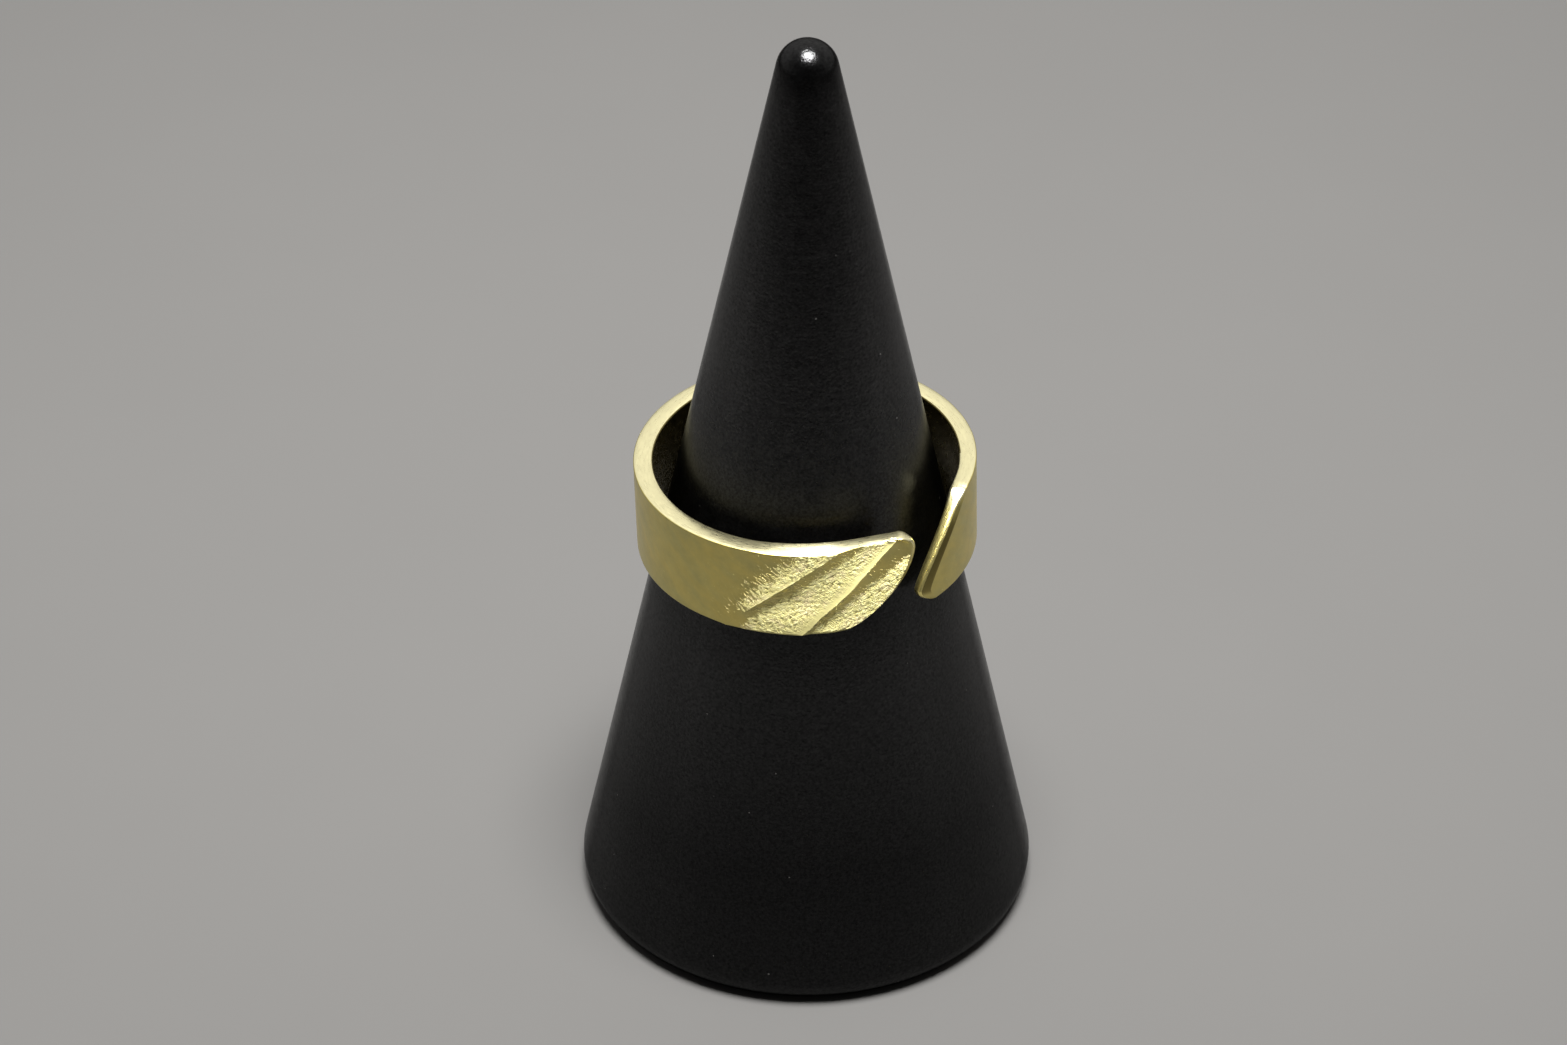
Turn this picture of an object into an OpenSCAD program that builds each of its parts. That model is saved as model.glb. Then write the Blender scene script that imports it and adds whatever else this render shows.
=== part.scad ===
// Open cuff ring of satin brass, seated on its plain black ring cone.
// Origin at the middle of the cone's base, +Z up; the ring's textured end is at the front (-Y).

/* [Cone stand] */
// Diameter across the round base
base_d = 28; // [26:0.1:30.8]
// Height from the table to the top of the rounded tip
cone_h = 59.3; // [55:0.1:65]
// Radius of the rounded tip
tip_r = 1.82; // [1.2:0.02:2.4]
// Radius that softens the edge of the foot
foot_r = 1.5; // [0.5:0.1:3]

/* [Band] */
// Inner diameter of the band, where the finger goes
bore_d = 18.1; // [16.4:0.1:20]
// Height of the band along the finger
band_h = 5.72; // [5:0.02:7]
// Thickness of the wall at the front
wall_front = 1.17; // [1:0.01:1.5]
// Thickness of the wall at the back
wall_back = 1.08; // [0.9:0.01:1.4]
// Thickness of the wall at the textured tip
wall_tip = 1.02; // [0.8:0.01:1.2]
// Thickness of the wall at the plain tip
wall_heel = 0.87; // [0.8:0.01:1.2]
// How far the plain end springs out from the mandrel
heel_spring = 0.28; // [0:0.02:0.6]

/* [Opening] */
// Arc along the face from the front of the ring to the textured tip
tip_reach = 6.52; // [5.5:0.01:8]
// Arc along the face between the two tips
opening = 1.0; // [0.6:0.01:3]
// Arc from the front to where the textured end leaves the circle and runs on straight
straight_from = 2.74; // [1:0.01:5]
// Width and depth of the bevel on the outer edge of both cut ends
bevel_w = 0.3; // [0.1:0.01:0.4]
// Depth by which the inner edge of both cut ends is rounded off
inner_bevel = 0.2; // [0:0.01:0.25]

/* [Seat] */
// Mean gap all round between the band's lower inner edge and the cone
seat_gap = 0.24; // [0.2:0.01:0.5]
// Lean of the ring on the cone, its plain end side up
seat_lean = 1.4; // [0:0.1:1.6]
// How far the ring sits off the cone's axis, to the front
seat_front = 0.1; // [0:0.01:0.1]
// How far the ring sits off the cone's axis, to the right
seat_right = 0.04; // [0:0.01:0.1]

/* [Hidden] */

$fn = 96;
base_r = base_d / 2;
bore_r = bore_d / 2;
face_r = bore_r + wall_front;
degrees_per_mm = 180 / (PI * face_r);

// Cone: the flank is the common tangent of the tip's circle and the foot's circle.
tip_z = cone_h - tip_r;
foot_x = base_r - foot_r;
flank_run = sqrt(foot_x * foot_x + pow(tip_z - foot_r, 2));
flank_lean = acos((tip_r - foot_r) / flank_run) - atan2(tip_z - foot_r, foot_x);
flank_out = [cos(flank_lean), sin(flank_lean)];
flank_top = [0, tip_z] + tip_r * flank_out;
flank_low = [foot_x, foot_r] + foot_r * flank_out;
seat_z = lookup(seat_gap - bore_r, [[-flank_low[0], flank_low[1]], [-flank_top[0], flank_top[1]]]);

// The band is a flat strip bent round a mandrel. Along the strip, s is the arc on its face from the
// front of the ring, positive towards the textured tip; z is the height above its lower edge.
tip_s = tip_reach;
heel_s = tip_reach + opening - 2 * PI * face_r;

// Each end: how far its cut sweeps back along the strip, how full the sweep is (2 is an ellipse, 1 is
// straight), the height between its nose and the edge it rounds to, and how far that rounding runs.
SWEEP = 0;
FULLNESS = 1;
NOSE = 2;
ROUNDING = 3;
tip_shape = [4.3, 1.62, 0.87, 0.9];
heel_shape = [4.7, 1.2, 0.87, 1.3];

// Gauge of the strip: arc from the front, thickness of the wall, lift of its inner side off the mandrel.
// The plain end thins over two tapers of taper_run each.
taper_run = 9;
front_from = -16;
GAUGE_S = 0;
GAUGE_WALL = 1;
GAUGE_LIFT = 2;
gauge = [
    [heel_s, wall_heel, heel_spring],
    [heel_s + taper_run, lerp(wall_heel, wall_back, 0.8), heel_spring / 4],
    [heel_s + 2 * taper_run, wall_back, 0],
    [front_from, wall_front, 0],
    [straight_from, wall_front, 0],
    [tip_s, wall_tip, 0],
];

// Crests of the cast relief. Each is a line that leans across the strip from foot_s at the lower edge to
// head_s at the upper edge, hollowed by bow. Its top stands crest mm off the face, and the face drops to
// floor mm just past it, over a run that widens from drop_foot to drop_head.
FOOT_S = 0;
HEAD_S = 1;
BOW = 2;
CREST = 3;
FLOOR = 4;
DROP_FOOT = 5;
DROP_HEAD = 6;
relief_start = [-5.4, -0.2, 1.1, 0, 0];
first_crest = [-5.0, 2.1, 0.38, 0.1, -0.17, 0.45, 1.5];
last_crest = [-0.3, 5.55, 0, 0.02, -0.2, 0.5, 1.5];
// Height of the face at the textured tip, how late each rise comes, and the relief left at the lower edge
tip_level = -0.12;
late_rise = 2;
low_edge_relief = 0.5;
low_edge_fade = 1.5;

// Rows across the strip, steps along each stretch of it, and where the plain band starts and ends
rows = 20;
heel_steps = 8;
band_steps = 36;
lead_steps = 6;
rise_steps = 5;
drop_steps = 3;
nose_steps = 4;
band_from = -8;
band_to = heel_s + taper_run;
// Least distance along the strip between the lines where the tip squeezes them together
line_gap = 0.2;

function lerp(a, b, t) = a + (b - a) * t;
function ease(t) = let (c = max(0, min(1, t))) c * c * (3 - 2 * c);

// Thickness of the wall and lift off the mandrel at arc s
function wall_at(s) = lookup(s, [for (g = gauge) [g[GAUGE_S], g[GAUGE_WALL]]]);
function lift_at(s) = lookup(s, [for (g = gauge) [g[GAUGE_S], g[GAUGE_LIFT]]]);

// Outline of an end as [distance behind its nose, height], from the swept edge at u = 0 to the other edge
function nose_line(shape, u) =
    let (split = 0.8, even = 0.75, power = 2 / shape[FULLNESS], shoulder = band_h - shape[NOSE])
    u < split
        ? let (a = 90 * pow(u / split, even))
            [shape[SWEEP] * (1 - pow(sin(a), power)), shoulder * (1 - pow(cos(a), power))]
        : let (a = 90 * (u - split) / (1 - split))
            [shape[ROUNDING] * (1 - cos(a)), shoulder + shape[NOSE] * sin(a)];
function tip_line(u) = let (p = nose_line(tip_shape, u)) [tip_s - p[0], p[1]];
function heel_line(u) = let (p = nose_line(heel_shape, 1 - u)) [heel_s + p[0], band_h - p[1]];

// A line across the strip is a list of [s, z, height of the relief].
tip_edge = [for (k = [0 : rows]) [each tip_line(k / rows), tip_level]];
heel_edge = [for (k = [0 : rows]) [each heel_line(k / rows), 0]];
function across(s) = [for (k = [0 : rows]) [s, band_h * k / rows, 0]];
function moved(line, ds) = [for (p = line) [p[0] + ds, p[1], p[2]]];

// A crest's line at its level, or past its drop. It keeps clear of the tip's edge by reserve.
function crest_line(c, level, past, reserve) = [
    for (p = tip_edge)
        let (
            u = p[1] / band_h,
            drop = past ? lerp(c[DROP_FOOT], c[DROP_HEAD], u) : 0,
            s = lerp(c[FOOT_S], c[HEAD_S], u) - 4 * c[BOW] * u * (1 - u) + drop,
            shown = lerp(low_edge_relief, 1, ease(p[1] / low_edge_fade))
        )
        [min(s, p[0] - reserve), p[1], level * shown]
];

// Lines from a to b, without a itself: the places step evenly and the heights rise by a power or eased.
EASED = 0;
function stretch(a, b, steps, power) = [
    for (i = [1 : steps])
        let (t = i / steps, rise = power == EASED ? ease(t) : pow(t, power))
        [
            for (k = [0 : rows])
                let (p = a[k], q = b[k])
                [lerp(p[0], q[0], t), lerp(p[1], q[1], t), lerp(p[2], q[2], rise)]
        ]
];

start_line = crest_line(relief_start, 0, false, 6 * line_gap);
crest_1 = crest_line(first_crest, first_crest[CREST], false, 5 * line_gap);
floor_1 = crest_line(first_crest, first_crest[FLOOR], true, 4 * line_gap);
crest_2 = crest_line(last_crest, last_crest[CREST], false, 3 * line_gap);
floor_2 = crest_line(last_crest, last_crest[FLOOR], true, 2 * line_gap);
bevel_tip = moved(tip_edge, -bevel_w);
bevel_heel = moved(heel_edge, bevel_w);
stations = concat(
    [heel_edge, bevel_heel],
    stretch(bevel_heel, across(band_to), heel_steps, 1),
    stretch(across(band_to), across(band_from), band_steps, 1),
    stretch(across(band_from), start_line, lead_steps, 1),
    stretch(start_line, crest_1, rise_steps, late_rise),
    stretch(crest_1, floor_1, drop_steps, EASED),
    stretch(floor_1, crest_2, rise_steps, late_rise),
    stretch(crest_2, floor_2, drop_steps, EASED),
    stretch(floor_2, bevel_tip, nose_steps, 1),
    [tip_edge]
);
last = len(stations) - 1;

// Bends the strip: the plan position of arc s at radius r, straight on past straight_from
function bent(s, r) =
    let (a = min(s, straight_from) * degrees_per_mm - 90, past = max(s - straight_from, 0))
    [r * cos(a) - past * sin(a), r * sin(a) + past * cos(a)];

// Bevels thin the cut ends from both sides, and fade out where the cut runs into the band's edges.
function bevelled(i, k) = i == 0 || i == last ? sqrt(sin(180 * k / rows)) : 0;
function point_at(p, r) = [each bent(p[0], bore_r + lift_at(p[0]) + r), p[1]];
function inner_point(p, cut) = point_at(p, inner_bevel * cut);
function outer_point(p, cut) = point_at(p, wall_at(p[0]) + p[2] - bevel_w * cut);

module ring() {
    loop = 2 * (rows + 1);
    points = [
        for (i = [0 : last]) each concat(
            [for (k = [0 : rows]) outer_point(stations[i][k], bevelled(i, k))],
            [for (k = [rows : -1 : 0]) inner_point(stations[i][k], bevelled(i, k))]
        )
    ];
    walls = [
        for (i = [0 : last - 1], k = [0 : loop - 1])
            let (a = i * loop + k, b = i * loop + (k + 1) % loop)
            each k < rows
                ? [[a, b, a + loop], [b, b + loop, a + loop]]
                : [[a, b, b + loop], [a, b + loop, a + loop]]
    ];
    heel_cap = [
        for (k = [0 : rows - 1])
            let (outer = k, inner = loop - 1 - k)
            each [[outer, inner, outer + 1], [outer + 1, inner, inner - 1]]
    ];
    tip_cap = [for (f = heel_cap) [for (i = [2, 1, 0]) f[i] + last * loop]];
    color("#b9b35c")
        translate([seat_right, -seat_front, seat_z])
            rotate([0, -seat_lean, 0])
                polyhedron(points, concat(walls, heel_cap, tip_cap));
}

module cone_stand() {
    color("#1d1b1c")
        rotate_extrude()
            intersection() {
                square([base_r, cone_h]);
                union() {
                    translate([0, tip_z]) circle(tip_r);
                    translate([foot_x, foot_r]) circle(foot_r);
                    polygon([[0, 0], [foot_x, 0], flank_low, flank_top, [0, tip_z]]);
                }
            }
}

cone_stand();
ring();
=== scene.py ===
"""Open cuff ring of satin brass, seated on its black ring cone.

The ring is modelled as a goldsmith makes it: one flat strip with cast relief on one end, bent round a
mandrel. Lengths on the flat strip are in millimetres. Meshes are written in metres, in the frame of the
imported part.
"""

from __future__ import annotations

import logging
import math
from collections.abc import Callable, Iterable
from dataclasses import dataclass, field
from enum import Enum

import bmesh
import bpy
from mathutils import Matrix, Vector, noise


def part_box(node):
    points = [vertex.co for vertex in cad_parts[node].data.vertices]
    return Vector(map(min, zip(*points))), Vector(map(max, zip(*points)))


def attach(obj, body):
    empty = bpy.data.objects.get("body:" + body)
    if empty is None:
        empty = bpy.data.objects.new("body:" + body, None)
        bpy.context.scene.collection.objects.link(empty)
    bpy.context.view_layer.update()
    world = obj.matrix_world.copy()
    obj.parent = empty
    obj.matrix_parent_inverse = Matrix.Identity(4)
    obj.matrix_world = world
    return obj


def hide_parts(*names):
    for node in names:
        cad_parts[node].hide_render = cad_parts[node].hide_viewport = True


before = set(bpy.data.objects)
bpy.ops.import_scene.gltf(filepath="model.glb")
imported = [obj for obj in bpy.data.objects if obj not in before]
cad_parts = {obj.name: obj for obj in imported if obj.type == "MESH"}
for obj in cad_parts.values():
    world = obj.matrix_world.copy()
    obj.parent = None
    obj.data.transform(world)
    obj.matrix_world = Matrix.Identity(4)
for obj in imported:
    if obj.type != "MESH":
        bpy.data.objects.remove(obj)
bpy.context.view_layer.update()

LOG = logging.getLogger("cuff_ring")
BODY = "root"
MM = 0.001
# How sharply the relief drops past a crest, and how late it rises to one
SOON_POWER = 1.8
LATE_POWERS = (2, 5)
# Half a side of the grid that the strip is laid out from
HALF_GRID = 0.5

Place = tuple[float, float, float]
Triple = tuple[float, float, float]
Colour = tuple[float, float, float]
Line = list[Place]
Levels = tuple[float, float]


def lerp(a: float, b: float, t: float) -> float:
    """Returns the value t of the way from a to b."""
    return a + (b - a) * t


def ease(t: float) -> float:
    """Returns t held to 0..1, with a soft start and a soft end."""
    c = max(0.0, min(1.0, t))
    return c * c * (3 - 2 * c)


def steady(t: float) -> float:
    """Returns how far a change has come at t, if it comes evenly."""
    return t


def soon(t: float) -> float:
    """Returns how far a change has come at t, if most of it comes at the start."""
    return 1 - (1 - t) ** SOON_POWER


def late(t: float) -> float:
    """Returns how far a change has come at t, if most of it comes at the end."""
    return sum(t ** power for power in LATE_POWERS) / len(LATE_POWERS)


def read_off(table: Iterable[tuple[float, float]], x: float) -> float:
    """Reads a table of rising (x, value) rows, straight between rows and level beyond its ends.

    Args:
        table: The rows.
        x: Where to read.

    Returns:
        The value at x.
    """
    rows = list(table)
    if x <= rows[0][0]:
        return rows[0][1]
    for (x0, v0), (x1, v1) in zip(rows, rows[1:]):
        if x <= x1:
            return lerp(v0, v1, (x - x0) / (x1 - x0))
    return rows[-1][1]


@dataclass(frozen=True)
class Fade:
    """A soft change that comes over a distance on the strip, in millimetres.

    Attributes:
        start: Where it starts.
        run: How far it takes, negative where it comes backwards.
    """

    start: float
    run: float

    def at(self, x: float) -> float:
        """Returns how far the change has come at x, 0 to 1."""
        return ease((x - self.start) / self.run)


@dataclass(frozen=True)
class Span:
    """A stretch of the strip with soft ends, as arcs in millimetres.

    Attributes:
        start: Where it starts.
        rise: How far it takes to be whole.
        end: Where it has ended.
        fall: How far it takes to end.
    """

    start: float
    rise: float
    end: float
    fall: float

    def at(self, s: float) -> float:
        """Returns how much of what is done along the stretch shows at arc s, 0 to 1."""
        return ease((s - self.start) / self.rise) * ease((self.end - s) / self.fall)


class RingFace(Enum):
    """What a face of the ring is, as the index of the finish it takes."""

    WALL = 0
    CUT = 1
    INSIDE = 2


@dataclass(frozen=True)
class EndShape:
    """Outline of one cut end of the strip, in millimetres.

    Attributes:
        sweep: How far the cut sweeps back along the strip.
        fullness: 2 is an ellipse, 1 is straight.
        nose: Height between the nose and the edge that it rounds to.
        rounding: How far that rounding runs along the strip.
        split: Share of the rows that follow the sweep. The others follow the rounding.
        even: Below 1, it spreads the rows that would crowd at the swept edge.
    """

    sweep: float
    fullness: float
    nose: float
    rounding: float
    split: float = 0.8
    even: float = 0.75

    def outline(self, u: float, band_h: float) -> tuple[float, float]:
        """Follows the outline from the swept edge to the other edge.

        Args:
            u: 0 at the swept edge, 1 at the other.
            band_h: Height of the strip.

        Returns:
            Distance behind the nose, and height above the swept edge.
        """
        shoulder = band_h - self.nose
        if u < self.split:
            a = math.radians(90 * (u / self.split) ** self.even)
            power = 2 / self.fullness
            return self.sweep * (1 - math.sin(a) ** power), shoulder * (1 - math.cos(a) ** power)
        a = math.radians(90 * (u - self.split) / (1 - self.split))
        return self.rounding * (1 - math.cos(a)), shoulder + self.nose * math.sin(a)


@dataclass(frozen=True)
class Crest:
    """One crest of the cast relief, a line that leans across the strip, in millimetres.

    Attributes:
        foot_s: Its arc at the lower edge.
        head_s: Its arc at the upper edge.
        bow: How far it is hollowed.
        top: How far it stands off the face, in the middle of the strip and at the upper edge.
        floor: Where the face drops to just past it, in the middle of the strip and at the upper edge.
        drop_foot: Run of that drop at the lower edge.
        drop_head: Run of that drop at the upper edge.
        runs_out: Height at which it has run out into the face.
        calm_foot: Width of the calmer ground before it, at the lower edge.
        calm_head: The same at the upper edge.
        calm: Share of the grain that the calmer ground has lost.
        bared: Share of the ground that the drop past it has lost, at the upper edge.
    """

    foot_s: float
    head_s: float
    bow: float
    top: Levels = (0.0, 0.0)
    floor: Levels = (0.0, 0.0)
    drop_foot: float = 0.0
    drop_head: float = 0.0
    runs_out: float = 0.0
    calm_foot: float = 0.0
    calm_head: float = 0.0
    calm: float = 0.0
    bared: float = 0.0


@dataclass(frozen=True)
class StripPlan:
    """The flat strip and the way it is bent, in millimetres.

    Attributes:
        bore_r: Radius of the mandrel.
        band_h: Width of the strip, which stands upright in the ring.
        wall_front: Thickness at the front.
        wall_back: Thickness at the back.
        wall_tip: Thickness at the textured tip.
        wall_heel: Thickness at the plain end.
        front_from: Arc at which the wall has grown to its front thickness.
        taper_run: Length of each of the two steps in which the plain end tapers and springs out.
        taper_share: Share of the taper that falls to the step nearer the nose.
        heel_spring: How far the plain end springs off the mandrel.
        spring_left: Share of the spring that is left where that step ends.
        tip_s: Arc of the textured end's nose.
        opening: Distance between the two noses.
        straight_from: Arc past which the textured end runs straight.
        bevel_foot_w: Width of the plain end's bevel at its foot.
        bevel_head_w: Width of that bevel at its head.
        bevel_depth: Depth of that bevel.
        tip_bevel_w: Width and depth of the textured end's bevel.
        inner_bevel: Depth of the bevel inside both ends.
        tip_level: Height of the face at the textured tip.
        low_edge_relief: Share of the relief that is left at the lower edge.
        low_edge_fade: Height over which the relief grows whole.
        high_part: Heights over which the relief's levels turn into those of the upper edge.
        line_gap: Gap that the lines of the relief keep at the tip's outline.
        crest_wave: How far the crests waver.
        wave_pitch: Waves of the crests to a millimetre of height.
        lead_s: Arc at which the mesh starts to narrow down to the relief.
        tip_shape: Outline of the textured end.
        heel_shape: Outline of the plain end.
        relief_start: Line at which the face starts to rise.
        first_crest: The crest nearer the band.
        last_crest: The crest nearer the tip.
    """

    bore_r: float = 9.05
    band_h: float = 5.72
    wall_front: float = 1.17
    wall_back: float = 1.08
    wall_tip: float = 1.02
    wall_heel: float = 0.87
    front_from: float = -16.0
    taper_run: float = 9.0
    taper_share: float = 0.8
    heel_spring: float = 0.28
    spring_left: float = 0.25
    tip_s: float = 6.52
    opening: float = 1.0
    straight_from: float = 2.74
    bevel_foot_w: float = 0.58
    bevel_head_w: float = 0.36
    bevel_depth: float = 0.18
    tip_bevel_w: float = 0.17
    inner_bevel: float = 0.08
    tip_level: float = -0.12
    low_edge_relief: float = 0.32
    low_edge_fade: float = 1.5
    high_part: Fade = Fade(3.2, 2.3)
    line_gap: float = 0.2
    crest_wave: float = 0.09
    wave_pitch: float = 1.3
    lead_s: float = -8.0
    tip_shape: EndShape = EndShape(sweep=4.3, fullness=1.62, nose=0.87, rounding=0.9)
    heel_shape: EndShape = EndShape(sweep=4.7, fullness=1.2, nose=0.87, rounding=1.3)
    relief_start: Crest = Crest(foot_s=-5.4, head_s=-0.2, bow=1.1)
    first_crest: Crest = Crest(
        foot_s=-5.0,
        head_s=1.95,
        bow=0.36,
        top=(0.1, 0.02),
        floor=(-0.21, -0.24),
        drop_foot=0.95,
        drop_head=2.0,
        runs_out=0.7,
        calm_foot=0.7,
        calm_head=0.4,
        calm=0.4,
        bared=0.72,
    )
    last_crest: Crest = Crest(
        foot_s=-0.3,
        head_s=5.5,
        bow=0.0,
        top=(0.02, -0.08),
        floor=(-0.26, -0.24),
        drop_foot=0.6,
        drop_head=2.7,
        runs_out=-0.6,
        calm_foot=1.6,
        calm_head=0.9,
        calm=0.97,
        bared=0.96,
    )

    @property
    def face_r(self) -> float:
        """Radius of the outer face at the front."""
        return self.bore_r + self.wall_front

    @property
    def heel_s(self) -> float:
        """Arc of the plain end's nose."""
        return self.tip_s + self.opening - 2 * math.pi * self.face_r

    def wall(self, s: float) -> float:
        """Follows the thickness of the wall along the strip.

        Args:
            s: Arc along the face.

        Returns:
            The thickness at arc s.
        """
        return read_off(
            (
                (self.heel_s, self.wall_heel),
                (self.heel_s + self.taper_run, lerp(self.wall_heel, self.wall_back, self.taper_share)),
                (self.heel_s + 2 * self.taper_run, self.wall_back),
                (self.front_from, self.wall_front),
                (self.straight_from, self.wall_front),
                (self.tip_s, self.wall_tip),
            ),
            s,
        )

    def lift(self, s: float) -> float:
        """Follows the gap that the plain end's spring leaves over the mandrel.

        Args:
            s: Arc along the face.

        Returns:
            How far the inner side stands off the mandrel at arc s.
        """
        return read_off(
            (
                (self.heel_s, self.heel_spring),
                (self.heel_s + self.taper_run, self.heel_spring * self.spring_left),
                (self.heel_s + 2 * self.taper_run, 0.0),
            ),
            s,
        )

    def bend(self, s: float, r: float) -> tuple[float, float]:
        """Bends the strip round the mandrel, straight on past straight_from.

        Args:
            s: Arc along the face from the front, positive towards the textured tip.
            r: Distance from the mandrel's axis.

        Returns:
            The plan position.
        """
        a = min(s, self.straight_from) / self.face_r - math.pi / 2
        past = max(s - self.straight_from, 0.0)
        return r * math.cos(a) - past * math.sin(a), r * math.sin(a) + past * math.cos(a)

    def tip_edge(self, u: float) -> tuple[float, float]:
        """Returns arc and height of the textured end's outline, u from its lower edge."""
        back, z = self.tip_shape.outline(u, self.band_h)
        return self.tip_s - back, z

    def heel_edge(self, u: float) -> tuple[float, float]:
        """Returns arc and height of the plain end's outline, u from its lower edge."""
        back, z = self.heel_shape.outline(1 - u, self.band_h)
        return self.heel_s + back, self.band_h - z

    def crest_at(self, crest: Crest, z: float, past: bool = False) -> float:
        """Follows a crest up the strip.

        Args:
            crest: The crest.
            z: Height above the strip's lower edge.
            past: Whether to follow the foot of the crest's drop instead.

        Returns:
            The arc at height z.
        """
        u = z / self.band_h
        drop = lerp(crest.drop_foot, crest.drop_head, u) if past else 0.0
        wave = self.crest_wave * noise.noise(Vector((z * self.wave_pitch, crest.foot_s, 0.0)))
        return lerp(crest.foot_s, crest.head_s, u) - 4 * crest.bow * u * (1 - u) + drop + wave


@dataclass(frozen=True)
class CastGrain:
    """The grain of the cast ground: small bumps with pits between them, drawn out along one slant.

    Attributes:
        slant: Angle of the marks on the strip, in degrees below the horizontal.
        mark: Width of a mark, in millimetres.
        stretch: How many times longer than wide a mark is.
        depth: Height of the grain, in millimetres.
        level: How high the middle of a mark stands, as a share of the depth.
        hollow: How much it falls to the next mark.
        crumble: How much the marks are crumbled.
        crumble_pitch: Crumbs to a mark.
        swell: How much whole groups of marks rise and sink.
        swell_pitch: Swells to a mark.
        slices: Where the three patterns are cut, so that they don't follow each other.
    """

    slant: float = 38.0
    mark: float = 0.105
    stretch: float = 1.8
    depth: float = 0.037
    level: float = 0.5
    hollow: float = 0.9
    crumble: float = 1.1
    crumble_pitch: float = 1.3
    swell: float = 0.4
    swell_pitch: float = 0.3
    slices: Triple = (0.5, 7.7, 3.1)

    def along_slant(self, s: float, z: float) -> tuple[float, float]:
        """Turns a place on the strip to the slant.

        Args:
            s: Arc along the face.
            z: Height above the strip's lower edge.

        Returns:
            The place as widths of a mark along the slant and across it.
        """
        a = math.radians(self.slant)
        along = (s * math.cos(a) - z * math.sin(a)) / (self.mark * self.stretch)
        across = (s * math.sin(a) + z * math.cos(a)) / self.mark
        return along, across

    def lumps(self, s: float, z: float) -> float:
        """Works out the grain at a place on the strip.

        Args:
            s: Arc along the face.
            z: Height above the strip's lower edge.

        Returns:
            The grain's height, from about -1 in a pit to about 1 on a lump.
        """
        along, across = self.along_slant(s, z)
        marks_cut, crumbs_cut, swells_cut = self.slices
        fine, broad = self.crumble_pitch, self.swell_pitch
        near = noise.voronoi(Vector((along, across, marks_cut)))[0][0]
        crumbs = noise.noise(Vector((along * fine, across * fine, crumbs_cut)))
        swells = noise.noise(Vector((along * broad, across * broad, swells_cut)))
        return self.level - self.hollow * near + self.crumble * crumbs + self.swell * swells


@dataclass(frozen=True)
class CastGround:
    """Where the cast ground lies on the strip, and how coarse it is. Lengths are in millimetres.

    Attributes:
        foot_s: Arc round which it starts, at the lower edge.
        sweep: How much further along it starts at the upper edge.
        sweep_power: Above 1, its start sweeps away late.
        clear: How far before that start there is none.
        growth: How it grows round that start.
        low_part: Heights over which it comes before the first crest.
        past_first: Distances past the first crest over which it comes down to the lower edge.
        edge_run: Distance from the strip's edges over which its grain grows.
        crest_run: Distance past a crest over which the drop bares.
        bared_foot: How bare the drops are at the lower edge, against the upper edge.
        regrowth: Distances past a drop's foot over which it comes back.
        ragged_foot: How ragged it is where it comes back, at the lower edge.
        ragged_head: The same at the upper edge.
        ragged_pitch: Notches of that ragged edge to a millimetre.
        ragged_cut: Where their pattern is cut.
    """

    foot_s: float = -3.85
    sweep: float = 4.1
    sweep_power: float = 1.8
    clear: float = 3.0
    growth: Fade = Fade(-2.2, 3.8)
    low_part: Fade = Fade(0.8, 0.9)
    past_first: Fade = Fade(0.4, 0.5)
    edge_run: float = 0.14
    crest_run: float = 0.1
    bared_foot: float = 0.5
    regrowth: Fade = Fade(-0.5, 0.8)
    ragged_foot: float = 0.75
    ragged_head: float = 0.35
    ragged_pitch: float = 3.1
    ragged_cut: float = 5.0

    def at(self, plan: StripPlan, s: float, z: float) -> tuple[float, float]:
        """Tells how the face is finished at a place of the strip.

        Args:
            plan: The strip's plan.
            s: Arc along the strip.
            z: Height above the strip's lower edge.

        Returns:
            How much of the face the cast ground covers, and how coarse it is, each 0 to 1.
        """
        u = max(0.0, z) / plan.band_h
        start = self.foot_s + self.sweep * u ** self.sweep_power
        if s < start - self.clear:
            return 0.0, 0.0
        first_top = plan.crest_at(plan.first_crest, z)
        ground = self.growth.at(s - start) * lerp(self.low_part.at(z), 1.0, self.past_first.at(s - first_top))
        coarse = ease(min(z, plan.band_h - z) / self.edge_run)
        for crest in (plan.first_crest, plan.last_crest):
            past_top = s - plan.crest_at(crest, z)
            if past_top > 0:
                bared = self.bared(crest, u, s, z, s - plan.crest_at(crest, z, past=True))
                ground *= 1 - bared * ease(past_top / self.crest_run)
            else:
                calm_w = lerp(crest.calm_foot, crest.calm_head, u)
                coarse *= 1 - crest.calm * (1 - ease(-past_top / calm_w))
        return ground, coarse

    def bared(self, crest: Crest, u: float, s: float, z: float, past_floor: float) -> float:
        """Works out how bare the drop past a crest is.

        Args:
            crest: The crest.
            u: Height as a share of the strip's.
            s: Arc along the strip.
            z: Height above the strip's lower edge.
            past_floor: Distance past the foot of the drop.

        Returns:
            The share of the ground that is lost there.
        """
        notch = noise.noise(Vector((s * self.ragged_pitch, z * self.ragged_pitch, self.ragged_cut)))
        ragged = lerp(self.ragged_foot, self.ragged_head, u) * notch
        return crest.bared * lerp(self.bared_foot, 1.0, u) * (1 - self.regrowth.at(past_floor + ragged))


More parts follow.
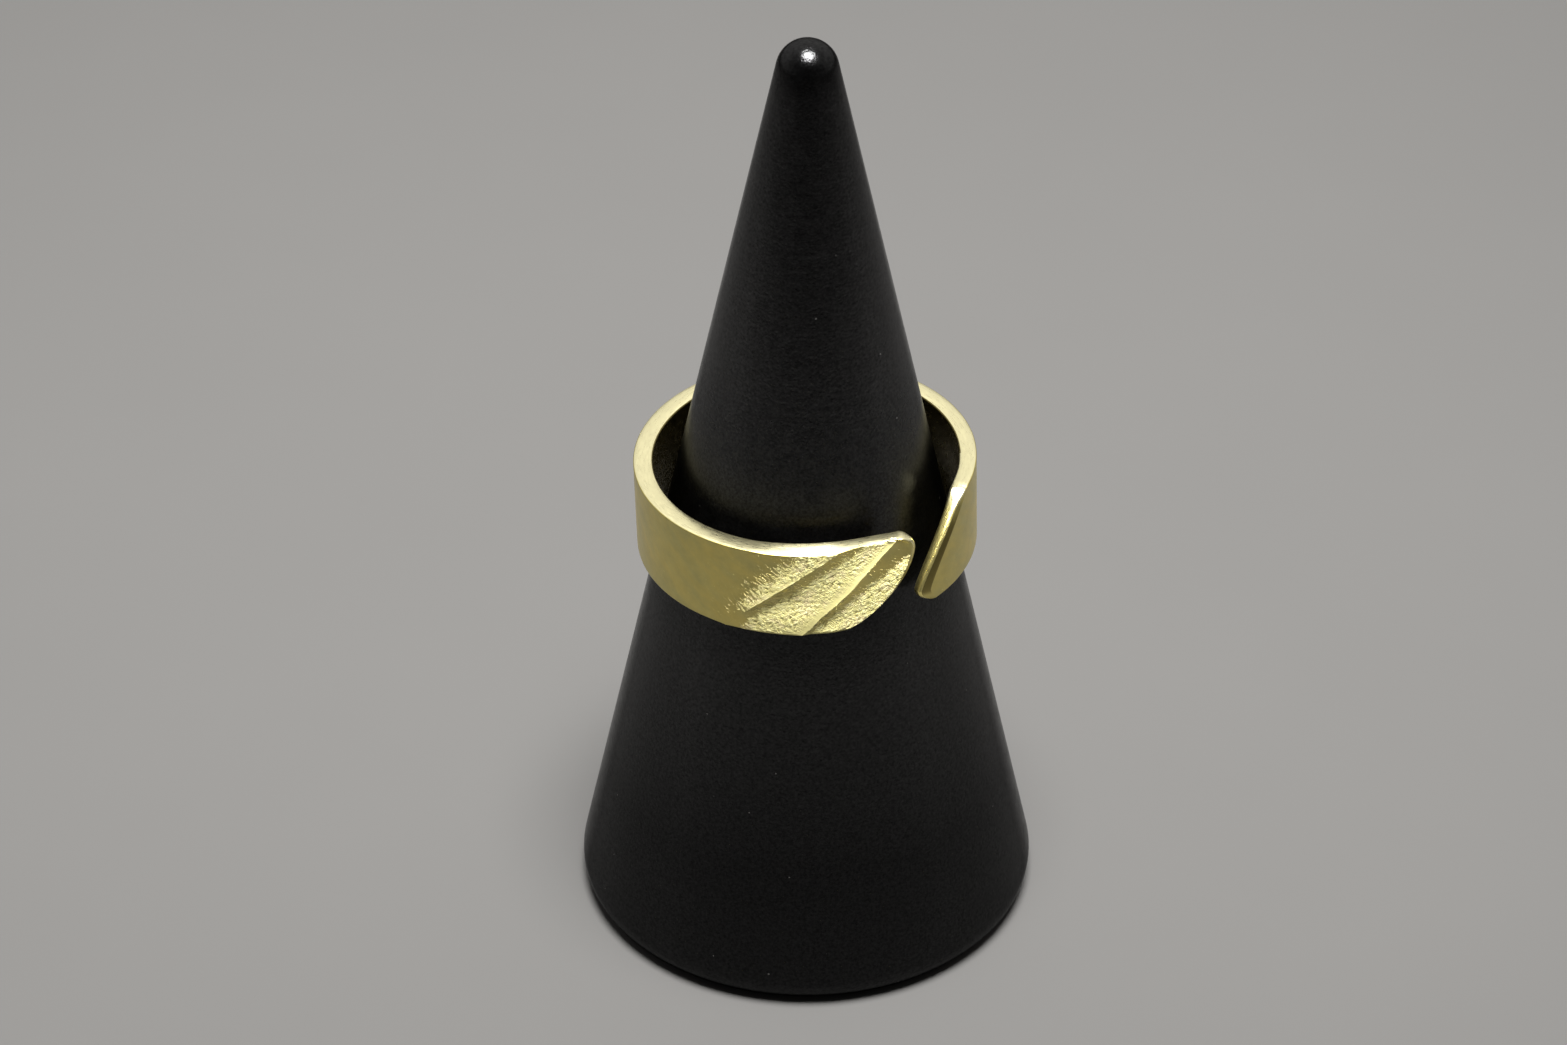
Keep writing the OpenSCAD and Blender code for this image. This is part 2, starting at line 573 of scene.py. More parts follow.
@dataclass(frozen=True)
class BevelShade:
    """Painted shade along the bevel of one end of the strip, standing in for the dark room that the bevel
    mirrors.

    Attributes:
        most: How much painted shade there is at most.
        lines: How it ends, in lines of the mesh from the end.
        head: How it comes, in millimetres down from the upper edge.
        foot: How it comes, in millimetres up from the lower edge.
    """

    most: float
    lines: Fade
    head: Fade
    foot: Fade

    def at(self, line: int, below_top: float, z: float) -> float:
        """Returns how much painted shade there is at a line from the end and a height, 0 to 1."""
        return self.most * self.lines.at(line) * self.head.at(below_top) * self.foot.at(z)


@dataclass
class CuffRing:
    """The ring, built as one strip. Lengths are in millimetres and angles in degrees.

    Attributes:
        plan: The flat strip.
        grain: The grain of its cast ground.
        ground: Where that ground lies.
        heel_bevel_shade: Painted shade along the plain end's bevel.
        tip_bevel_shade: Painted shade along the textured end's bevel.
        seat_z: Height of the ring's lower edge on the cone.
        seat_gap: How much smaller than the bore the cone is at that height.
        seat_right: How far the ring sits to the right of the cone's axis.
        seat_front: How far it sits in front of it.
        seat_lean: How far it leans up to the right.
        rows: Rows of the mesh across the strip.
        edge_rows: Places of the rows along each edge, as shares of its rounding.
        bevel_steps: Lines across a bevel.
        heel_steps: Lines from the plain end's bevel to the end of its first taper.
        band_steps: Lines along the plain band.
        lead_steps: Lines from the band to the start of the relief.
        rise_steps: Lines up to each crest.
        drop_steps: Lines down from each crest.
        nose_steps: Lines from the last drop to the tip's bevel.
        lip_share: Place of the line that keeps a bevel's outer lip sharp, as a share of its width.
        past_bevel: Place of the line that keeps the plain end's face flat, as a share of the bevel's width.
        bevel_head: How a bevel comes, down from the upper edge.
        bevel_foot: How a bevel comes, up from the lower edge.
        rim_cuts: Lines across the rims and the cut ends.
        rim_edge: Distances from a rim within which a cut face counts as that rim.
        rim_crown: How far a rim is crowned.
        end_crown: How far a cut end is crowned.
        outer_round: Rounding of the outer edges.
        inner_round: Rounding of the inner edges.
        worn_round: Rounding of the inner edges at the plain end, which are worn.
        worn_run: Length of strip over which that wear runs out.
        bright_run: Length of strip along which the plain end keeps bright filed brass inside, out of the
            bore's painted shade.
        rim_lean: How far the upper rim leans outwards over the relief.
        rim_along: Stretch of the strip where it does.
        rim_down: How that lean ends, down from the upper edge.
        low_sag: How far the lower edge hangs down under the relief.
        sag_along: Stretch of the strip where it does.
        sag_up: How that sag ends, up from the lower edge.
        shoulder_run: Half the run over which the rim rounds into the plain end's cut.
        shoulder_slope: How steeply the cut leaves the rim there.
        shoulder_down: How that rounding ends, down from the upper edge.
        hem_lean: How far the lower edge leans in where the ring bears on the cone.
        hem_along: Stretch of the strip where it does.
        hem_up: How that lean ends, up from the lower edge.
        name: Name of the piece.
    """

    plan: StripPlan = field(default_factory=StripPlan)
    grain: CastGrain = field(default_factory=CastGrain)
    ground: CastGround = field(default_factory=CastGround)
    heel_bevel_shade: BevelShade = BevelShade(most=1.0, lines=Fade(5.0, -1.0), head=Fade(0.5, 1.2), foot=Fade(0.45, 0.4))
    tip_bevel_shade: BevelShade = BevelShade(most=0.5, lines=Fade(4.6, -1.2), head=Fade(1.5, 0.8), foot=Fade(0.3, 0.5))
    seat_z: float = 0.0
    seat_gap: float = 0.24
    seat_right: float = 0.04
    seat_front: float = 0.1
    seat_lean: float = 1.4
    rows: int = 100
    edge_rows: tuple[float, ...] = (0.0, 0.3, 1.0)
    bevel_steps: int = 3
    heel_steps: int = 30
    band_steps: int = 84
    lead_steps: int = 26
    rise_steps: tuple[int, int] = (84, 74)
    drop_steps: tuple[int, int] = (22, 24)
    nose_steps: int = 36
    lip_share: float = 1 / 6
    past_bevel: float = 1.06
    bevel_head: Fade = Fade(0.0, 1.1)
    bevel_foot: Fade = Fade(-0.04, 0.4)
    rim_cuts: int = 5
    rim_edge: Fade = Fade(0.3, -0.15)
    rim_crown: float = 0.045
    end_crown: float = 0.17
    outer_round: float = 0.05
    inner_round: float = 0.09
    worn_round: float = 0.34
    worn_run: float = 4.5
    bright_run: float = 8.4
    rim_lean: float = 5.5
    rim_along: Span = Span(start=-3.6, rise=2.2, end=2.7, fall=1.4)
    rim_down: Fade = Fade(0.8, -0.8)
    low_sag: float = 0.09
    sag_along: Span = Span(start=-6.5, rise=3.0, end=2.5, fall=1.2)
    sag_up: Fade = Fade(1.5, -1.5)
    shoulder_run: float = 0.55
    shoulder_slope: float = 0.5
    shoulder_down: Fade = Fade(1.5, -1.2)
    hem_lean: float = 0.17
    hem_along: Span = Span(start=-51.0, rise=3.0, end=-39.0, fall=3.0)
    hem_up: Fade = Fade(1.2, -1.2)
    name: str = "cuff_ring"

    def across(self, edge: Callable[[float], tuple[float, float]], k: int) -> tuple[float, float]:
        """Returns arc and height where row k meets an end's outline."""
        return edge(self.row_height(k) / self.plan.band_h)

    def row_height(self, k: int) -> float:
        """Places a row on the plain band: close rows round each edge, even rows between.

        Args:
            k: Number of the row, from the lower edge.

        Returns:
            The row's height.
        """
        near = min(k, self.rows - k)
        if near < len(self.edge_rows):
            z = self.edge_rows[near] * self.inner_round
        else:
            first = len(self.edge_rows) - 1
            t = (near - first) / (self.rows - 2 * first)
            z = self.inner_round + t * (self.plan.band_h - 2 * self.inner_round)
        return z if k <= self.rows / 2 else self.plan.band_h - z

    def tip_line(self) -> Line:
        """Returns the textured end's outline."""
        return [(*self.across(self.plan.tip_edge, k), self.plan.tip_level) for k in range(self.rows + 1)]

    def heel_line(self) -> Line:
        """Returns the plain end's outline."""
        return [(*self.across(self.plan.heel_edge, k), 0.0) for k in range(self.rows + 1)]

    def heel_bevel_line(self, share: float) -> Line:
        """Follows the plain end's bevel, which is wider at its foot.

        Args:
            share: Where on the bevel, 0 at the outline and 1 where the bevel meets the face.

        Returns:
            The line.
        """
        plan = self.plan
        return [
            (s + share * lerp(plan.bevel_foot_w, plan.bevel_head_w, ease(z / plan.band_h)), z, h)
            for s, z, h in self.heel_line()
        ]

    def tip_bevel_line(self, share: float) -> Line:
        """Returns the line a share of the way across the textured end's bevel."""
        return [(s - share * self.plan.tip_bevel_w, z, h) for s, z, h in self.tip_line()]

    def straight_line(self, s: float) -> Line:
        """Returns a line straight across the strip at arc s."""
        return [(s, self.row_height(k), 0.0) for k in range(self.rows + 1)]

    def crest_line(self, crest: Crest, levels: Levels, past: bool, reserve: int) -> Line:
        """Follows a crest across the strip, clear of the tip's outline.

        Args:
            crest: The crest.
            levels: Height of the relief on this line, in the middle of the strip and at the upper edge.
            past: Whether this is the foot of the crest's drop.
            reserve: How many line gaps the line keeps from the outline.

        Returns:
            The line.
        """
        plan = self.plan
        line = []
        for edge_s, z, _ in self.tip_line():
            s = min(plan.crest_at(crest, z, past), edge_s - reserve * plan.line_gap)
            shown = lerp(plan.low_edge_relief, 1.0, ease((z - crest.runs_out) / plan.low_edge_fade))
            line.append((s, z, lerp(*levels, plan.high_part.at(z)) * shown))
        return line

    def relief_lines(self) -> list[Line]:
        """Follows the relief: its start, and the top and the drop's foot of each crest.

        Returns:
            The five lines. Each may come one gap nearer the tip's outline than the one before.
        """
        plan = self.plan
        courses = [(plan.relief_start, plan.relief_start.top, False)]
        for crest in (plan.first_crest, plan.last_crest):
            courses += [(crest, crest.top, False), (crest, crest.floor, True)]
        most = len(courses) + 1
        return [self.crest_line(*course, most - i) for i, course in enumerate(courses)]

    @staticmethod
    def stretch(a: Line, b: Line, steps: int, rise: Callable[[float], float] = steady) -> list[Line]:
        """Fills the strip between two lines.

        Args:
            a: The first line, which is left out.
            b: The last line.
            steps: How many lines to make.
            rise: How the relief goes from a to b.

        Returns:
            The lines, b the last of them.
        """
        lines = []
        for i in range(1, steps + 1):
            t = i / steps
            lines.append([
                (lerp(p[0], q[0], t), lerp(p[1], q[1], t), lerp(p[2], q[2], rise(t)))
                for p, q in zip(a, b)
            ])
        return lines

    def lines(self) -> list[Line]:
        """Lays out the strip from the plain end's outline to the textured tip's.

        Returns:
            Every line across the strip.
        """
        heel_lip = self.heel_bevel_line(self.lip_share)
        heel_flat = self.heel_bevel_line(self.past_bevel)
        heel_end = self.straight_line(self.plan.heel_s + self.plan.taper_run)
        lead = self.straight_line(self.plan.lead_s)
        start, crest_1, floor_1, crest_2, floor_2 = self.relief_lines()
        tip_bevel = self.tip_bevel_line(1.0)
        return [
            self.heel_line(),
            heel_lip,
            *self.stretch(heel_lip, self.heel_bevel_line(1.0), self.bevel_steps),
            heel_flat,
            *self.stretch(heel_flat, heel_end, self.heel_steps),
            *self.stretch(heel_end, lead, self.band_steps),
            *self.stretch(lead, start, self.lead_steps),
            *self.stretch(start, crest_1, self.rise_steps[0], late),
            *self.stretch(crest_1, floor_1, self.drop_steps[0], soon),
            *self.stretch(floor_1, crest_2, self.rise_steps[1], late),
            *self.stretch(crest_2, floor_2, self.drop_steps[1], soon),
            *self.stretch(floor_2, tip_bevel, self.nose_steps),
            *self.stretch(tip_bevel, self.tip_bevel_line(self.lip_share), self.bevel_steps),
            self.tip_line(),
        ]

    def edge_drop(self, z: float, to_end: int, round_r: float, bevel: float) -> float:
        """Works out how far the strip's face is cut back near its outline.

        Args:
            z: Height above the strip's lower edge.
            to_end: How many lines away the nearer end is.
            round_r: Radius that softens the edge.
            bevel: Depth of the bevel on that end.

        Returns:
            The depth.
        """
        below_top = self.plan.band_h - z
        to_edge = min(z, below_top)
        drop = 0.0
        if to_edge < round_r:
            drop = round_r - math.sqrt(round_r ** 2 - (round_r - to_edge) ** 2)
        share = self.bevel_head.at(below_top) * self.bevel_foot.at(z)
        return max(drop, bevel * share * self.bevel_left(to_end))

    def bevel_left(self, line: int) -> float:
        """Returns the share of a bevel's depth that is left at a line, counted from the cut end."""
        return 1.0 if line == 0 else max(0.0, (1 - self.lip_share) * (1 - (line - 1) / self.bevel_steps))

    def hem_in(self, s: float, z: float) -> float:
        """Returns how far the inner side leans in at a place."""
        return self.hem_lean * self.hem_along.at(s) * self.hem_up.at(z)

    def edge_sag(self, s: float, z: float) -> float:
        """Returns how far the strip hangs down at a place."""
        return self.low_sag * self.sag_along.at(s) * self.sag_up.at(z)

    def bevel_shade_at(self, i: int, last: int, z: float) -> float:
        """Returns how much painted shade there is at height z of line i, along the bevels of both ends."""
        below_top = self.plan.band_h - z
        return max(self.heel_bevel_shade.at(i, below_top, z), self.tip_bevel_shade.at(last - i, below_top, z))

    def inner_round_at(self, s: float) -> float:
        """Returns the rounding of the inner edges at arc s."""
        return lerp(self.worn_round, self.inner_round, ease((s - self.plan.heel_s) / self.worn_run))

    def shoulder_drop(self, s: float, z: float) -> float:
        """Rounds the rim over into the plain end's slanting cut.

        Args:
            s: Arc along the strip.
            z: Height above the strip's lower edge.

        Returns:
            How far a place drops.
        """
        away = self.shoulder_run - abs(s - self.plan.heel_s - self.plan.heel_shape.sweep)
        rounded = self.shoulder_slope * max(0.0, away) ** 2 / (4 * self.shoulder_run)
        return rounded * self.shoulder_down.at(self.plan.band_h - z)

    def rim_shift(self, s: float, z: float) -> float:
        """Leans the upper rim outwards.

        Args:
            s: Arc along the strip.
            z: Height above the strip's lower edge.

        Returns:
            How far its inner edge goes up and its outer edge down.
        """
        leant = self.rim_along.at(s) * self.rim_down.at(self.plan.band_h - z)
        return leant * self.plan.wall(s) / 2 * math.tan(math.radians(self.rim_lean))

    def placed(self, s: float, z: float, r: float) -> Vector:
        """Bends a place on the strip, leans the ring and sets it on the cone.

        Args:
            s: Arc along the strip.
            z: Height above the strip's lower edge.
            r: Distance from the mandrel's axis.

        Returns:
            The place in metres, in the part's frame.
        """
        x, y = self.plan.bend(s, r)
        lean = math.radians(self.seat_lean)
        leant_x = x * math.cos(lean) - z * math.sin(lean)
        leant_z = x * math.sin(lean) + z * math.cos(lean)
        return Vector((leant_x + self.seat_right, y - self.seat_front, leant_z + self.seat_z)) * MM

    def build(self) -> bpy.types.Object:
        """Makes the ring's mesh: a grid given its thickness, laid out on the strip and bent.

        Returns:
            The ring's object, with its place in its mesh.
        """
        lines = self.lines()
        bm = bmesh.new()
        strip_place = bm.verts.layers.float_vector.new("strip_place")
        bm.verts.layers.float_vector.new("cast")
        bm.verts.layers.float.new("bevel_shade")
        bmesh.ops.create_grid(bm, x_segments=len(lines) - 1, y_segments=self.rows, size=HALF_GRID)
        inner = set(bm.verts)
        bmesh.ops.extrude_face_region(bm, geom=bm.faces[:])
        rungs = [e for e in bm.edges if (e.verts[0] in inner) != (e.verts[1] in inner)]
        self.lay_out(bm, lines, inner)
        inside = [f for f in bm.faces if all(v in inner for v in f.verts)]
        cuts = bmesh.ops.subdivide_edges(bm, edges=rungs, cuts=self.rim_cuts, use_grid_fill=True)
        cut = [item for item in cuts["geom_inner"] if isinstance(item, bmesh.types.BMVert)]
        self.crown_cuts(cut, strip_place)
        bmesh.ops.recalc_face_normals(bm, faces=bm.faces)
        for f in bm.faces:
            f.smooth = True
            f.material_index = RingFace.WALL.value
        bright_to = self.plan.heel_s + self.bright_run
        # Bore faces near the plain end keep the filed brass; the rest take the brass darkened by painted
        # shade.
        for f in inside:
            bright = all(v[strip_place].x < bright_to for v in f.verts)
            f.material_index = RingFace.CUT.value if bright else RingFace.INSIDE.value
        for v in cut:
            for f in v.link_faces:
                f.material_index = RingFace.CUT.value
        return mesh_object(self.name, bm)

    def lay_out(self, bm: bmesh.types.BMesh, lines: list[Line], inner: set[bmesh.types.BMVert]) -> None:
        """Moves the grid's vertices to their places, and writes how the face is finished there.

        Args:
            bm: The ring's mesh, a grid one unit across with its extruded copy.
            lines: The lines across the strip.
            inner: The vertices of the inner side.
        """
        plan = self.plan
        last = len(lines) - 1
        strip_place = bm.verts.layers.float_vector["strip_place"]
        cast = bm.verts.layers.float_vector["cast"]
        bevel_shade = bm.verts.layers.float["bevel_shade"]
        for v in bm.verts:
            i = round((v.co.x + HALF_GRID) * last)
            k = round((v.co.y + HALF_GRID) * self.rows)
            s, z, h = lines[i][k]
            to_end = min(i, last - i)
            base = plan.bore_r + plan.lift(s)
            shift = self.rim_shift(s, z)
            sag = self.edge_sag(s, z) + self.shoulder_drop(s, z)
            if v in inner:
                r = base + self.edge_drop(z, to_end, self.inner_round_at(s), plan.inner_bevel)
                r -= self.hem_in(s, z)
                z += shift - sag
            else:
                ground, coarse = self.ground.at(plan, s, z) if last - i > self.bevel_steps else (0.0, 0.0)
                lump = self.grain.lumps(s, z) * coarse if ground > 0 else 0.0
                v[cast] = Vector((ground, coarse, lump))
                # Painted shade along the bevels of both ends, which the satin brass reads.
                v[bevel_shade] = self.bevel_shade_at(i, last, z)
                bevel = plan.bevel_depth if i < last / 2 else plan.tip_bevel_w
                relief = h + self.grain.depth * lump * ground
                r = base + plan.wall(s) + relief - self.edge_drop(z, to_end, self.outer_round, bevel)
                z -= shift + sag
            v[strip_place] = Vector((s, z, r - plan.bore_r))
            v.co = self.placed(s, z, r)

    def crown_cuts(self, cut: Iterable[bmesh.types.BMVert], strip_place: bmesh.types.BMLayerItem) -> None:
        """Crowns the filed rims and the two cut ends between their edges.

        Args:
            cut: The vertices across the rims and the ends.
            strip_place: The layer with each vertex's place on the strip.
        """
        plan = self.plan
        for v in cut:
            s, z, depth = v[strip_place]
            t = (depth - plan.lift(s)) / plan.wall(s)
            swell = 1 - (2 * t - 1) ** 2
            upper = self.rim_edge.at(plan.band_h - z)
            lower = self.rim_edge.at(z)
            outward = math.copysign(self.end_crown * swell * (1 - upper - lower), s)
            v.co = self.placed(s + outward, z + self.rim_crown * swell * (upper - lower), plan.bore_r + depth)

    def dress(self, effects: Effects) -> bpy.types.Object:
        """Builds the ring in three brasses, the bore's dark with painted shade, and puts it in its solid's
        place.

        Args:
            effects: The shared effects.

        Returns:
            The ring's object.
        """
        satin = SatinBrass().material(effects)
        filed = FiledBrass().material(effects)
        # The bore takes a copy of the filed brass whose dark colour is painted shade.
        shaded_bore = FiledBrass(
            name="shaded_bore_brass",
            colour=(0.2, 0.16, 0.055),
            end_colour=(0.2, 0.16, 0.055),
            rough=0.24,
            marks_depth=0.000003,
        ).material(effects)
        return hand_over(self.build(), "ring", [satin, filed, shaded_bore])


def mesh_object(name: str, bm: bmesh.types.BMesh) -> bpy.types.Object:
    """Turns a bmesh into an object of the scene and frees it.

    Args:
        name: Name of the object and of its mesh.
        bm: The bmesh.

    Returns:
        The object, at the origin.
    """
    mesh = bpy.data.meshes.new(name)
    bm.to_mesh(mesh)
    bm.free()
    thing = bpy.data.objects.new(name, mesh)
    bpy.context.scene.collection.objects.link(thing)
    return thing


def hand_over(piece: bpy.types.Object, node: str,
              materials: Iterable[bpy.types.Material]) -> bpy.types.Object:
    """Gives a piece its materials and its place in the part.

    Args:
        piece: The piece.
        node: The CAD node it stands for.
        materials: Its materials, in the order of their indices.

    Returns:
        The piece.
    """
    for material in materials:
        piece.data.materials.append(material)
    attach(piece, BODY)
    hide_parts(node)
    return piece


@dataclass
class RingCone:
    """The turned and lacquered cone, in millimetres. Its height and foot come from the frame.

    Attributes:
        tip_r: Radius of the rounded tip.
        foot_r: Radius that softens the foot.
        turns: Faces round the cone.
        arc_steps: Steps along each of the two radii.
        flank_cuts: Cuts up the flank.
        floor_cuts: Cuts from the middle of the floor to its edge.
        merge_within: Distance within which vertices are one.
        name: Name of the piece.
    """

    tip_r: float = 1.82
    foot_r: float = 1.5
    turns: int = 256
    arc_steps: int = 18
    flank_cuts: int = 60
    floor_cuts: int = 4
    merge_within: float = 1e-4
    name: str = "ring_cone"

    def __post_init__(self) -> None:
        """Reads the cone's box and works out its flank."""
        low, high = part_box("cone_stand")
        self.base_r = (high.x - low.x) / 2 / MM
        self.tip_z = high.z / MM - self.tip_r
        self.foot_x = self.base_r - self.foot_r
        run = math.hypot(self.foot_x, self.tip_z - self.foot_r)
        turn = math.acos((self.tip_r - self.foot_r) / run)
        self.lean = turn - math.atan2(self.tip_z - self.foot_r, self.foot_x)

    @property
    def shoulder(self) -> tuple[float, float]:
        """Radius and height at which the flank meets the rounded tip."""
        return self.tip_r * math.cos(self.lean), self.tip_z + self.tip_r * math.sin(self.lean)

    def height_at(self, radius: float) -> float:
        """Finds a place on the flank.

        Args:
            radius: The cone's radius there.

        Returns:
            Its height.
        """
        low_x = self.foot_x + self.foot_r * math.cos(self.lean)
        low_z = self.foot_r * (1 + math.sin(self.lean))
        top_x, top_z = self.shoulder
        return lerp(low_z, top_z, (low_x - radius) / (low_x - top_x))

    def build(self) -> bpy.types.Object:
        """Makes the cone: two arcs spun from a point each, joined by the flank, and spun round the axis.

        Returns:
            The cone's object, with its place in its mesh.
        """
        bm = bmesh.new()
        centre = bm.verts.new((0.0, 0.0, 0.0))
        foot = bm.verts.new((self.foot_x, 0.0, 0.0))
        floor_edge = bm.edges.new((centre, foot))
        foot_end = self.arc(bm, foot, self.foot_x, self.foot_r, math.pi / 2 + self.lean)
        shoulder_x, shoulder_z = self.shoulder
        shoulder = bm.verts.new((shoulder_x, 0.0, shoulder_z))
        flank = bm.edges.new((foot_end, shoulder))
        self.arc(bm, shoulder, 0.0, self.tip_z, math.pi / 2 - self.lean)
        bmesh.ops.subdivide_edges(bm, edges=[flank], cuts=self.flank_cuts)
        bmesh.ops.subdivide_edges(bm, edges=[floor_edge], cuts=self.floor_cuts)
        bmesh.ops.spin(
            bm,
            geom=bm.verts[:] + bm.edges[:],
            cent=(0.0, 0.0, 0.0),
            axis=(0.0, 0.0, 1.0),
            angle=2 * math.pi,
            steps=self.turns,
            use_merge=True,
            use_duplicate=False,
        )
        bmesh.ops.remove_doubles(bm, verts=bm.verts, dist=self.merge_within)
        bmesh.ops.recalc_face_normals(bm, faces=bm.faces)
        bmesh.ops.scale(bm, vec=(MM, MM, MM), verts=bm.verts)
        for f in bm.faces:
            f.smooth = True
        return mesh_object(self.name, bm)

    def arc(self, bm: bmesh.types.BMesh, start: bmesh.types.BMVert, x: float, z: float,
            angle: float) -> bmesh.types.BMVert:
        """Spins a point into an arc of the profile, upwards.

        Args:
            bm: The bmesh.
            start: The point.
            x: Place of the arc's centre, across.
            z: Place of the arc's centre, up.
            angle: How far the arc turns.

        Returns:
            The arc's last point.
        """
        spun = bmesh.ops.spin(
            bm,
            geom=[start],
            cent=(x, 0.0, z),
            axis=(0.0, -1.0, 0.0),
            angle=angle,
            steps=self.arc_steps,
            use_merge=False,
            use_duplicate=False,
        )
        return next(g for g in spun["geom_last"] if isinstance(g, bmesh.types.BMVert))

    def dress(self, effects: Effects) -> bpy.types.Object:
        """Builds the cone, lacquers it and puts it in its solid's place."""
        return hand_over(self.build(), "cone_stand", [BlackLacquer().material(effects)])


@dataclass(frozen=True)
class Ramp:
    """How a shader's value goes over from one level to another, level beyond both ends.

    Attributes:
        low: Where it starts.
        high: Where it ends.
        at_low: The level at its start.
        at_high: The level at its end.
    """

    low: float
    high: float
    at_low: float = 0.0
    at_high: float = 1.0


class Wiring:
    """Adds nodes to one tree and joins their sockets."""

    def __init__(self, tree: bpy.types.NodeTree) -> None:
        """Takes the tree that the nodes go into."""
        self.tree = tree

    def add(self, kind: str, **settings: object) -> bpy.types.Node:
        """Adds a node.

        Args:
            kind: Blender's name for the kind of node.
            **settings: Properties to set on it.

        Returns:
            The node.
        """
        node = self.tree.nodes.new(kind)
        for key, value in settings.items():
            setattr(node, key, value)
        return node

    def feed(self, socket: bpy.types.NodeSocket, value: object) -> None:
        """Joins a socket to another's output, or sets it.

        Args:
            socket: The socket.
            value: The output, or a plain value or colour.
        """
        if isinstance(value, bpy.types.NodeSocket):
            self.tree.links.new(value, socket)
        elif socket.type == "RGBA":
            socket.default_value = (*value, 1.0)
        else:
            socket.default_value = value

    def fed(self, kind: str, inputs: dict[str, object], **settings: object) -> bpy.types.Node:
        """Adds a node and feeds its inputs.

        Args:
            kind: Blender's name for the kind of node.
            inputs: A value or output for each input, by its name.
            **settings: Properties to set on it.

        Returns:
            The node.
        """
        node = self.add(kind, **settings)
        for key, value in inputs.items():
            self.feed(node.inputs[key], value)
        return node

    def attribute(self, name: str, output: str = "Vector") -> bpy.types.NodeSocket:
        """Returns what an Attribute node reads from the mesh."""
        return self.add("ShaderNodeAttribute", attribute_name=name).outputs[output]

    def parts(self, vector: object) -> Iterable[bpy.types.NodeSocket]:
        """Returns the three parts of a vector."""
        return self.fed("ShaderNodeSeparateXYZ", {"Vector": vector}).outputs

    def toned(self, colour: object, tone: object) -> bpy.types.NodeSocket:
        """Returns a colour made lighter or darker by a tone."""
        node = self.fed("ShaderNodeVectorMath", {"Vector": colour, "Scale": tone}, operation="SCALE")
        return node.outputs["Vector"]

    def maths(self, operation: str, *values: object) -> bpy.types.NodeSocket:
        """Works something out.

        Args:
            operation: Name of the Math node's operation.
            *values: What it works on.

        Returns:
            The result.
        """
        node = self.add("ShaderNodeMath", operation=operation)
        for socket, value in zip(node.inputs, values):
            self.feed(socket, value)
        return node.outputs[0]

    def ramp(self, value: object, ramp: Ramp) -> bpy.types.NodeSocket:
        """Takes a value over a ramp.

        Args:
            value: The value.
            ramp: The ramp.

        Returns:
            The level.
        """
        node = self.add("ShaderNodeMapRange")
        for socket, given in zip(node.inputs, (value, ramp.low, ramp.high, ramp.at_low, ramp.at_high)):
            self.feed(socket, given)
        return node.outputs[0]

    def blend(self, share: object, a: object, b: object) -> bpy.types.NodeSocket:
        """Returns colour a turned into colour b by a share."""
        node = self.fed("ShaderNodeMix", {"Factor": share, "A": a, "B": b}, data_type="RGBA")
        return node.outputs["Result"]

    def noise(self, place: object, scale: object, detail: float, rough: float = 0.5) -> bpy.types.NodeSocket:
        """Returns the value of a Noise Texture."""
        inputs = {"Vector": place, "Scale": scale, "Detail": detail, "Roughness": rough}
        return self.fed("ShaderNodeTexNoise", inputs).outputs["Fac"]

    def cells(self, place: object, scale: object) -> bpy.types.NodeSocket:
        """Returns the distance to the nearest point of a Voronoi Texture."""
        return self.fed("ShaderNodeTexVoronoi", {"Vector": place, "Scale": scale}).outputs["Distance"]

    def scaled(self, place: object, scale: Triple, turn: Triple = (0.0, 0.0, 0.0)) -> bpy.types.NodeSocket:
        """Returns a place turned and scaled by a Mapping node."""
        inputs = {"Vector": place, "Rotation": turn, "Scale": scale}
        return self.fed("ShaderNodeMapping", inputs).outputs["Vector"]

    def bump(self, height: object, distance: float, strength: object = 1.0,
             normal: bpy.types.NodeSocket | None = None) -> bpy.types.NodeSocket:
        """Raises a surface by a Bump node.

        Args:
            height: The relief.
            distance: Its depth where the relief is 1, in metres.
            strength: How much of it shows.
            normal: The normal of a relief under it, if there is one.

        Returns:
            The normal.
        """
        inputs = {"Height": height, "Distance": distance, "Strength": strength}
        if normal is not None:
            inputs["Normal"] = normal
        return self.fed("ShaderNodeBump", inputs).outputs["Normal"]


